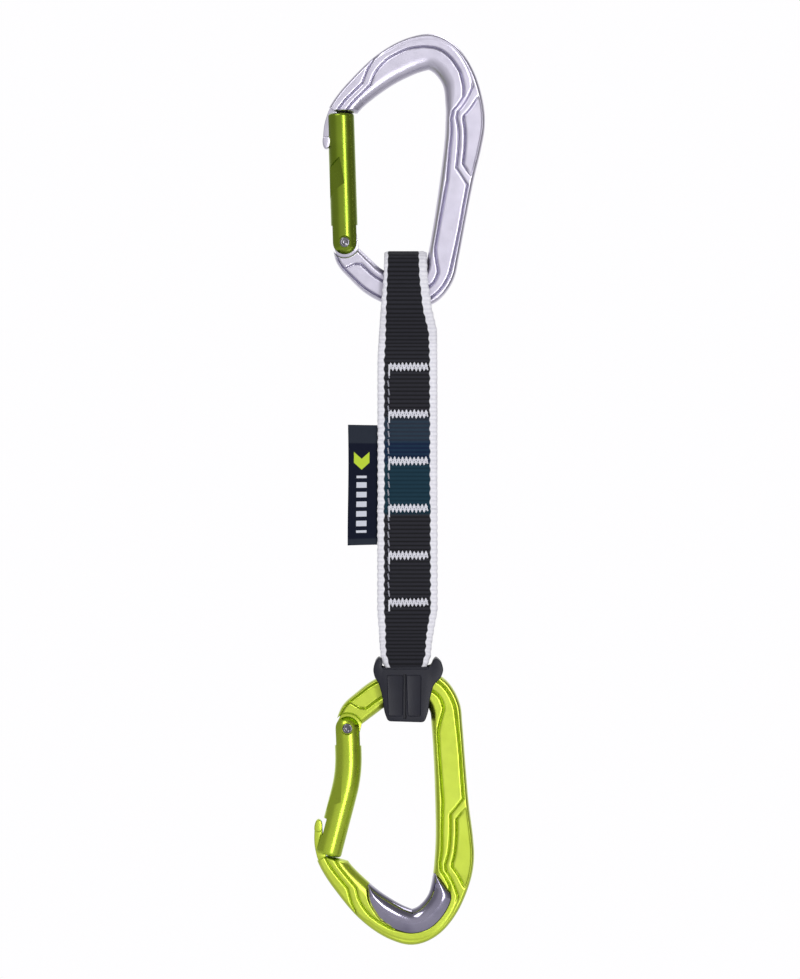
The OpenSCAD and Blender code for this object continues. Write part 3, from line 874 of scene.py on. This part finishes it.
def label(name):
    """A folded ribbon: two layers that meet in a round fold at the left, tucked into the sling's edge."""
    rows = 100
    cloth, space = 0.42, 0.05
    far = LABEL_W - 0.5
    reach = np.concatenate([np.linspace(-LABEL_TUCK, far, 22), [far + 0.3, far + 0.47, far + 0.5]])
    outer = np.array([cloth + space] * 22 + [0.37, 0.18, 0.0])
    verts, uv = [], []
    order = [(r, -o) for r, o in zip(reach, outer)] + [(r, o) for r, o in list(zip(reach, outer))[-2::-1]]
    inner = np.linspace(far - 0.2, -LABEL_TUCK, 20)
    order = order + [(r, space * smooth(far - r, 0, 2)) for r in inner[::-1]]
    order = order + [(r, -space * smooth(far - r, 0, 2) - 0.001) for r in inner]
    for k in range(rows):
        t = k / (rows - 1)
        z = LABEL_MID_Z + LABEL_H * (0.5 - t)
        for r, o in order:
            free = max(r, 0) / LABEL_W
            sway = 0.35 * free * math.sin(2 * math.pi * t * 1.3 + 0.6) + 0.012 * math.sin(z * 9)
            droop = 0.5 * free * (t - 0.35)
            verts.append((LABEL_HINGE_X - r + 0.15 * free * math.sin(5 * t), o + sway, z - droop))
            uv.append((r / LABEL_W, t))
    return new_object(name, verts, tube_faces(rows, len(order)), uvs=uv, smooth_angle=60)


# ---- Keeper ----

KEEPER_T = 18.8


def arc_points(points, radius, steps=5):
    """Rounds the corners of a closed outline by arcs of about the given radius."""
    out = []
    n = len(points)
    for i, p in enumerate(points):
        p = np.array(p, float)
        a, b = np.array(points[i - 1], float) - p, np.array(points[(i + 1) % n], float) - p
        la, lb = np.linalg.norm(a), np.linalg.norm(b)
        d = min(radius, la * 0.45, lb * 0.45)
        start, end = p + a / la * d, p + b / lb * d
        for k in range(steps + 1):
            t = k / steps
            out.append(tuple((1 - t) ** 2 * start + 2 * t * (1 - t) * p + t * t * end))
    return out


def keeper(name):
    """The rubber block with its two flared lips, hollow for the strap and the bar."""
    top, base = BAR_Z + 5.4, BAR_Z - 13.5
    right = [(6.9, base), (8.2, base + 3.5), (9.0, base + 9), (10.3, base + 14), (12.7, top - 3.0),
             (14.0, top + 0.3), (13.2, top + 3.2), (11.2, top + 4.9), (10.2, top + 3.8), (9.3, top + 1.6)]
    left = [(-9.0, top + 1.2), (-8.3, top + 3.2), (-9.8, top + 5.0), (-11.0, top + 3.9), (-12.1, top + 0.6),
            (-11.4, top - 2.4), (-9.9, top - 4.6), (-8.7, base + 10), (-7.9, base + 4), (-6.6, base + 0.4)]
    outline = [(KEEPER_X + x, z) for x, z in arc_points(right + left, 1.3)]
    verts, faces = bevelled_plate(outline, KEEPER_T / 2, 1.1)
    obj = new_object(name, verts, faces)
    room = LOOP_R + LAYER / 2 + 0.15
    mouth = [(-6.7, LOWER_LOOP_Z - room), (6.7, LOWER_LOOP_Z - room), (7.6, BAR_Z + 3), (9.7, BAR_Z + 9),
             (-9.7, BAR_Z + 9), (-7.6, BAR_Z + 3)]
    carve(obj, *bevelled_plate([(KEEPER_X + x, z) for x, z in mouth], room, 0.2))
    s = np.linspace(13.5, 19.5, 60)
    band = np.concatenate([across(s, -half_width(s) - 0.25), across(s[::-1], half_width(s[::-1]) + 0.25)])
    bar, sides = bevelled_plate(band.tolist(), 5.25, 0.2)
    carve(obj, to_lower(bar), sides)
    for side in (-1, 1):
        for low, high, left, far in ((base + 2.2, top - 1.4, -7.0, -0.8), (base + 2.2, top - 1.4, 0.2, 5.8),
                                     (top + 0.6, top + 3, -8.6, 8.6)):
            slope = 0.5 if low < top - 2 else 0
            panel = [(KEEPER_X + left + slope, low), (KEEPER_X + far - slope / 2, low),
                     (KEEPER_X + far, high), (KEEPER_X + left, high)]
            points, sides = bevelled_plate(arc_points(panel, 0.9, 3), 0.9, 0.4)
            points[:, 1] += side * (KEEPER_T / 2 + 0.45)
            carve(obj, points, sides)
        near, far, low, high = KEEPER_X - 0.85, KEEPER_X + 0.25, base + 1.4, top - 1.2
        groove = [(near, low), (far, low), (far, high), (near, high)]
        points, sides = bevelled_plate(groove, 1.2, 0.2)
        points[:, 1] += side * (KEEPER_T / 2 + 0.2)
        carve(obj, points, sides)
    obj.data.shade_smooth()
    mark_sharp(obj.data, 35)
    return obj


# ---- Materials ----

class Graph:
    """A node tree with a few shorthands."""

    def __init__(self, tree):
        self.nodes, self.links = tree.nodes, tree.links
        self.place = self.nodes.new("ShaderNodeTexCoord")

    def put(self, value, socket):
        if hasattr(value, "is_output"):
            self.links.new(value, socket)
        else:
            socket.default_value = value

    def math(self, how, a, b=0.0, c=0.0):
        node = self.nodes.new("ShaderNodeMath")
        node.operation = how
        for value, socket in zip((a, b, c), node.inputs):
            self.put(value, socket)
        return node.outputs[0]

    def times(self, a, b):
        return self.math("MULTIPLY", a, b)

    def wave(self, value, rate):
        """Sine of a value times a rate."""
        return self.math("SINE", self.times(value, rate))

    def ramp(self, value, low, high, at_low=0.0, at_high=1.0):
        """One value below low and another above high, smooth between."""
        node = self.nodes.new("ShaderNodeMapRange")
        node.interpolation_type = "SMOOTHSTEP"
        for socket, v in zip(node.inputs, (value, low, high, at_low, at_high)):
            self.put(v, socket)
        return node.outputs[0]

    def window(self, value, low, rise, fall, high):
        """1 from rise to fall, easing to 0 at low and high."""
        return self.times(self.ramp(value, low, rise), self.ramp(self.times(value, -1.0), -high, -fall))

    def axes(self, vector):
        """The three parts of a vector."""
        split = self.nodes.new("ShaderNodeSeparateXYZ")
        self.links.new(vector, split.inputs[0])
        return split.outputs


class Paint(Graph):
    """A node material. Further values set the shader's inputs, with underscores for spaces."""

    def __init__(self, name, metallic=0.0, rough=0.5, **values):
        self.mat = bpy.data.materials.new(name)
        self.mat.use_nodes = True
        super().__init__(self.mat.node_tree)
        self.shader = self.nodes["Principled BSDF"]
        self.shader.inputs["Metallic"].default_value = metallic
        self.shader.inputs["Roughness"].default_value = rough
        for key, value in values.items():
            self.shader.inputs[key.replace("_", " ")].default_value = value

    def noise(self, scale, detail=3.0, stretch=(1, 1, 1)):
        mapping = self.nodes.new("ShaderNodeMapping")
        mapping.inputs["Scale"].default_value = stretch
        self.links.new(self.place.outputs["Object"], mapping.inputs["Vector"])
        node = self.nodes.new("ShaderNodeTexNoise")
        node.inputs["Scale"].default_value = scale
        node.inputs["Detail"].default_value = detail
        self.links.new(mapping.outputs[0], node.inputs["Vector"])
        return node.outputs["Fac"]

    def pattern_axes(self):
        uv = self.nodes.new("ShaderNodeUVMap")
        uv.uv_map = "pattern"
        return self.axes(uv.outputs[0])[:2]

    def object_axes(self):
        return self.axes(self.place.outputs["Object"])

    def roughness(self, value):
        self.links.new(value, self.shader.inputs["Roughness"])

    def mix(self, share, a, b):
        node = self.nodes.new("ShaderNodeMix")
        node.data_type = "RGBA"
        self.put(share, node.inputs["Factor"])
        for value, key in ((a, "A"), (b, "B")):
            socket = [i for i in node.inputs if i.name == key and i.type == "RGBA"][0]
            if hasattr(value, "is_output"):
                self.links.new(value, socket)
            else:
                socket.default_value = (*value, 1)
        return [o for o in node.outputs if o.type == "RGBA"][0]

    def colour(self, value):
        self.links.new(value, self.shader.inputs["Base Color"])

    def bump(self, height, distance, strength=1.0):
        node = self.nodes.new("ShaderNodeBump")
        node.inputs["Distance"].default_value = distance
        node.inputs["Strength"].default_value = strength
        self.links.new(height, node.inputs["Height"])
        self.links.new(node.outputs[0], self.shader.inputs["Normal"])


def srgb(r, g, b):
    """Linear colour from 0-255 screen values."""
    out = []
    for v in (r, g, b):
        v /= 255
        out.append(v / 12.92 if v <= 0.04045 else ((v + 0.055) / 1.055) ** 2.4)
    return tuple(out)


def metal(name, base, darker, rough, groove=None, bump=0.00001):
    """Tumbled or anodised metal: faint mottling, fine grain and uneven polish, with painted shade darkening the
    grooves.
    """
    paint = Paint(name, 1.0, rough)
    cloud = paint.noise(90, 4)
    fine = paint.noise(1400, 2)
    tone = paint.mix(paint.ramp(cloud, 0.35, 0.75), base, darker)
    # Painted shade: where the pattern map marks a groove, the colour turns to the darker groove colour.
    if groove:
        tone = paint.mix(paint.ramp(paint.pattern_axes()[0], 0.25, 1.0), tone, groove)
    paint.colour(tone)
    paint.roughness(paint.math("MULTIPLY_ADD", paint.noise(260, 5), 0.16, rough - 0.08))
    paint.bump(fine, bump, 0.6)
    return paint.mat


def woven():
    """The sling's weave: black ground with painted highlights on its ribs, white scalloped edges with painted
    shade between the ribs, and a tinted patch half-way down, lighter on its ribs.
    """
    paint = Paint("webbing_weave", 0.0, 0.78, Sheen_Weight=0.06, Sheen_Roughness=0.4, Specular_IOR_Level=0.2)
    u, v = paint.pattern_axes()
    # V counts a hundredth of a unit for each millimetre along the strap
    per_mm = 10 * MM
    side = paint.math("ABSOLUTE", u)
    rib_shading = paint.math("ABSOLUTE", paint.wave(v, math.pi / (RIB_PITCH * per_mm)))
    height = paint.object_axes()[2]
    scallop = paint.wave(v, math.pi / (RIB_PITCH * 1.13 * per_mm))
    border = paint.math("MULTIPLY_ADD", scallop, 0.022, 1.0)
    edge = paint.ramp(side, paint.math("SUBTRACT", border, 0.02), paint.math("ADD", border, 0.02))
    weave = paint.nodes.new("ShaderNodeTexWave")
    weave.inputs["Scale"].default_value = 9.0
    weave.inputs["Distortion"].default_value = 2.0
    weave.inputs["Detail"].default_value = 3.0
    paint.links.new(paint.nodes["UV Map"].outputs[0], weave.inputs["Vector"])
    # Painted highlight: the black ground is lighter on the rib crests.
    ground = paint.mix(paint.times(rib_shading, 0.9), srgb(8, 8, 12), srgb(42, 42, 50))
    patch = paint.mix(paint.ramp(height, -0.1460, -0.1445), srgb(2, 36, 50), srgb(0, 16, 52))
    patch = paint.mix(paint.ramp(height, -0.1385, -0.1365), patch, srgb(34, 40, 54))
    # Painted highlight: the patch is lighter on the rib crests.
    patch = paint.mix(paint.times(rib_shading, 0.28), patch, srgb(40, 76, 96))
    ground = paint.mix(paint.window(height, -0.1650, -0.1635, -0.1305, -0.1275), ground, patch)
    white = paint.mix(paint.noise(900, 4), srgb(222, 221, 230), srgb(250, 249, 255))
    # Painted shade: the white edges are greyer between the ribs.
    white = paint.mix(paint.times(paint.math("SUBTRACT", 1.0, rib_shading), 0.3), white, srgb(170, 170, 186))
    paint.colour(paint.mix(edge, ground, white))
    threads = paint.math("ADD", paint.times(weave.outputs["Fac"], 0.5), paint.noise(1500, 4, (3, 1, 1)))
    paint.bump(threads, 0.00012, 0.8)
    return paint.mat


def thread(name, light, strand_shade):
    """Twisted sewing thread: fine diagonal strands, with painted shade between them."""
    paint = Paint(name, 0.0, 0.6, Sheen_Weight=0.2)
    x, y, z = paint.object_axes()
    twist = paint.wave(paint.math("ADD", x, paint.times(z, 0.8)), 16000)
    # Painted shade: the darker colour fills the hollows between the strands, where the bump is low.
    paint.colour(paint.mix(paint.ramp(twist, -0.6, 0.9), strand_shade, light))
    paint.bump(twist, 0.00006, 0.7)
    return paint.mat


def label_cloth():
    """Satin ribbon: navy with slate ends and a plain generic pattern of a lime chevron and pale bars."""
    paint = Paint("label_ribbon", 0.0, 0.62, Specular_IOR_Level=0.15)
    r, t = paint.pattern_axes()
    navy, slate = srgb(3, 11, 34), srgb(36, 42, 54)
    colour = paint.mix(paint.window(t, 0.145, 0.16, 0.94, 0.955), slate, navy)
    bend = paint.math("ABSOLUTE", paint.math("SUBTRACT", r, 0.5))
    slanted = paint.math("ADD", t, paint.times(bend, 0.2))
    band = paint.window(slanted, 0.28, 0.285, 0.37, 0.375)
    chevron = paint.times(band, paint.window(r, 0.2, 0.22, 0.78, 0.8))
    colour = paint.mix(chevron, colour, srgb(186, 212, 58))
    row = paint.times(paint.window(t, 0.42, 0.425, 0.895, 0.9), paint.window(r, 0.3, 0.32, 0.68, 0.7))
    stripe = paint.ramp(paint.wave(t, 2 * math.pi / 0.08), -0.3, -0.15)
    paint.colour(paint.mix(paint.times(row, stripe), colour, srgb(205, 208, 220)))
    paint.bump(paint.times(paint.wave(t, 900.0), paint.wave(r, 260.0)), 0.00005, 0.6)
    return paint.mat


def rubber():
    """Matt moulded rubber, faintly mottled."""
    paint = Paint("keeper_rubber", 0.0, 0.5, Specular_IOR_Level=0.35)
    paint.colour(paint.mix(paint.noise(300, 4), srgb(14, 15, 28), srgb(23, 24, 39)))
    paint.roughness(paint.math("MULTIPLY_ADD", paint.noise(120, 3), 0.2, 0.34))
    paint.bump(paint.noise(2200, 3), 0.00005, 0.5)
    return paint.mat


def dress(obj, material):
    """Gives a piece its material."""
    obj.data.materials.clear()
    obj.data.materials.append(material)
    return obj


def fit(obj, material, node, body):
    """Dresses a piece that stands for one CAD node and moves with one body."""
    dress(obj, material)
    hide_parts(node)
    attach(obj, body)


# ---- The pieces ----

# The last colour given for each forging is painted shade for its grooves.
silver = metal("silver_anodised", srgb(209, 205, 221), srgb(200, 196, 213), 0.33, srgb(128, 124, 148))
lime = metal("lime_anodised", srgb(200, 218, 82), srgb(194, 212, 75), 0.33, srgb(138, 160, 24))
gate_green = metal("dark_green_anodised", srgb(132, 154, 50), srgb(124, 146, 43), 0.27, bump=0.000002)
gate_lime = metal("lime_gate_anodised", srgb(186, 208, 70), srgb(178, 202, 63), 0.28, bump=0.000002)
steel = metal("insert_steel", srgb(158, 154, 174), srgb(130, 126, 148), 0.13)
# The rivet steel is darker than the forgings: partly the steel's own tone, partly painted shade of the recess
# round the pin's heads.
pin_steel = metal("rivet_steel", srgb(132, 130, 138), srgb(98, 96, 104), 0.2)
spring_steel = metal("spring_steel", srgb(170, 168, 172), srgb(120, 118, 124), 0.3)

fit(carabiner_body("carabiner_upper", False), silver, "top_body", "top_carabiner")
fit(carabiner_body("carabiner_lower", True), lime, "bottom_body", "bottom_carabiner")

top_gate = gate("gate_upper", length=UPPER_GATE_L, bend_z=UPPER_GATE_L - 14, tilt=UPPER_TILT,
                end_tilt=UPPER_TILT, slot_start=0, slot_floor=-1.3, lower=False)
fit(top_gate, gate_green, "top_gate", "top_gate")
bottom_gate = gate("gate_lower", length=BEND_Z + LOWER_LEG, bend_z=BEND_Z, tilt=LOWER_TILT,
                   end_tilt=LOWER_END_TILT, slot_start=13.1, slot_floor=0.4, lower=True)
fit(bottom_gate, gate_lime, "bottom_gate", "bottom_gate")

for place, tilt, lower in (("top", UPPER_TILT, False), ("bottom", LOWER_TILT, True)):
    pin = rivet(place + "_gate_rivet_pin", tilt, lower)
    fit(pin, pin_steel, place + "_gate_rivet", place + "_carabiner")

fit(insert("basket_insert"), steel, "rope_insert", "bottom_carabiner")

weave = woven()
upper_strap, lower_strap = webbing()
for strap_half in (upper_strap, lower_strap):
    strap_half.data.materials.append(weave)

# Each thread's darker colour is painted shade between its strands.
tack_white = thread("tack_thread", srgb(248, 248, 255), srgb(205, 205, 218))
seam_grey = thread("seam_thread", srgb(196, 196, 210), srgb(96, 96, 110))
for i in range(6):
    tack = bar_tack(f"tack_{i + 1}", TACK_TOP - i * TACK_GAP, 40 + i)
    fit(tack, tack_white, f"bar_tack_{i + 1}", "sling")
fit(side_seam("seam_left"), seam_grey, "side_seam", "sling")

tab = dress(label("label_tab"), label_cloth())
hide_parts("label")
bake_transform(tab)

fit(keeper("keeper_block"), rubber(), "keeper", "bottom_carabiner")

for body, tilt, lower in (("top_gate", UPPER_TILT, False), ("bottom_gate", LOWER_TILT, True)):
    dress(frame["nodes"][body + "_plunger"], pin_steel)
    coil = closing_spring(body + "_coil", tilt, lower)
    fit(coil, spring_steel, body + "_spring", body)
    shorten(coil)


# ---- Stage, light and camera ----

# The middle of the object in metres, which the camera and the lights look at
MIDDLE = (-0.0096, 0, -0.1552)
CAMERA_AWAY = 1.66
FLOOR_R = 560
FLOOR_Z = -420
# Brightness of the surroundings before the object and to its left and right
FRONT = 0.72
SIDE_LEFT = 0.4
SIDE_RIGHT = 0.24


def floor_disc():
    """A round sheet of pale paper well below the object."""
    verts, faces = lathe([(0, 0), (FLOOR_R, 0)], 96)
    obj = new_object("floor", verts[:, [0, 2, 1]] + [-9.5, 0, FLOOR_Z], faces)
    paint = Paint("floor_paper", 0.0, 0.9)
    paint.colour(paint.mix(paint.noise(6, 2), (0.86, 0.86, 0.88), (0.9, 0.9, 0.91)))
    obj.data.materials.append(paint.mat)


def sky():
    """Soft surroundings: white before and behind the object, greyer to its sides and overhead."""
    world = bpy.data.worlds.new("studio")
    bpy.context.scene.world = world
    world.use_nodes = True
    graph = Graph(world.node_tree)
    x, y, _ = graph.axes(graph.place.outputs["Generated"])
    ends = graph.ramp(y, -0.5, 0.5, FRONT, 1.0)
    sides = graph.ramp(x, -0.6, 0.6, SIDE_LEFT, SIDE_RIGHT)
    facing = graph.ramp(graph.math("ABSOLUTE", y), 0.5, 0.93)
    rest = graph.times(sides, graph.math("SUBTRACT", 1.0, facing))
    background = graph.nodes["Background"]
    graph.links.new(graph.math("ADD", graph.times(facing, ends), rest), background.inputs["Strength"])
    background.inputs["Color"].default_value = (0.995, 0.99, 1.0, 1)


def area_light(name, at, size, power):
    """A soft rectangular light turned towards the object."""
    data = bpy.data.lights.new(name, "AREA")
    data.shape, data.size, data.size_y = "RECTANGLE", size[0], size[1]
    data.energy = power
    obj = bpy.data.objects.new(name, data)
    bpy.context.scene.collection.objects.link(obj)
    obj.location = at
    obj.rotation_euler = (Vector(MIDDLE) - Vector(at)).to_track_quat("-Z", "Y").to_euler()


def camera():
    """A long lens straight before the object."""
    data = bpy.data.cameras.new("camera")
    data.sensor_fit, data.sensor_height, data.lens = "VERTICAL", 24.0, 110.0
    obj = bpy.data.objects.new("camera", data)
    bpy.context.scene.collection.objects.link(obj)
    obj.location = (MIDDLE[0], -CAMERA_AWAY, MIDDLE[2])
    obj.rotation_euler = (math.pi / 2, 0, 0)
    bpy.context.scene.camera = obj


floor_disc()
sky()
area_light("strip", (0.45, -1.1, -0.1), (0.22, 1.0), 6)
area_light("key", (-0.5, -0.7, 0.7), (0.55, 0.45), 3.2)
area_light("low", (-0.2, -0.8, -0.95), (0.8, 0.45), 3)
area_light("back", (0.3, 0.5, 0.6), (0.5, 0.3), 1.5)
camera()
bpy.context.scene.view_settings.view_transform = "Standard"
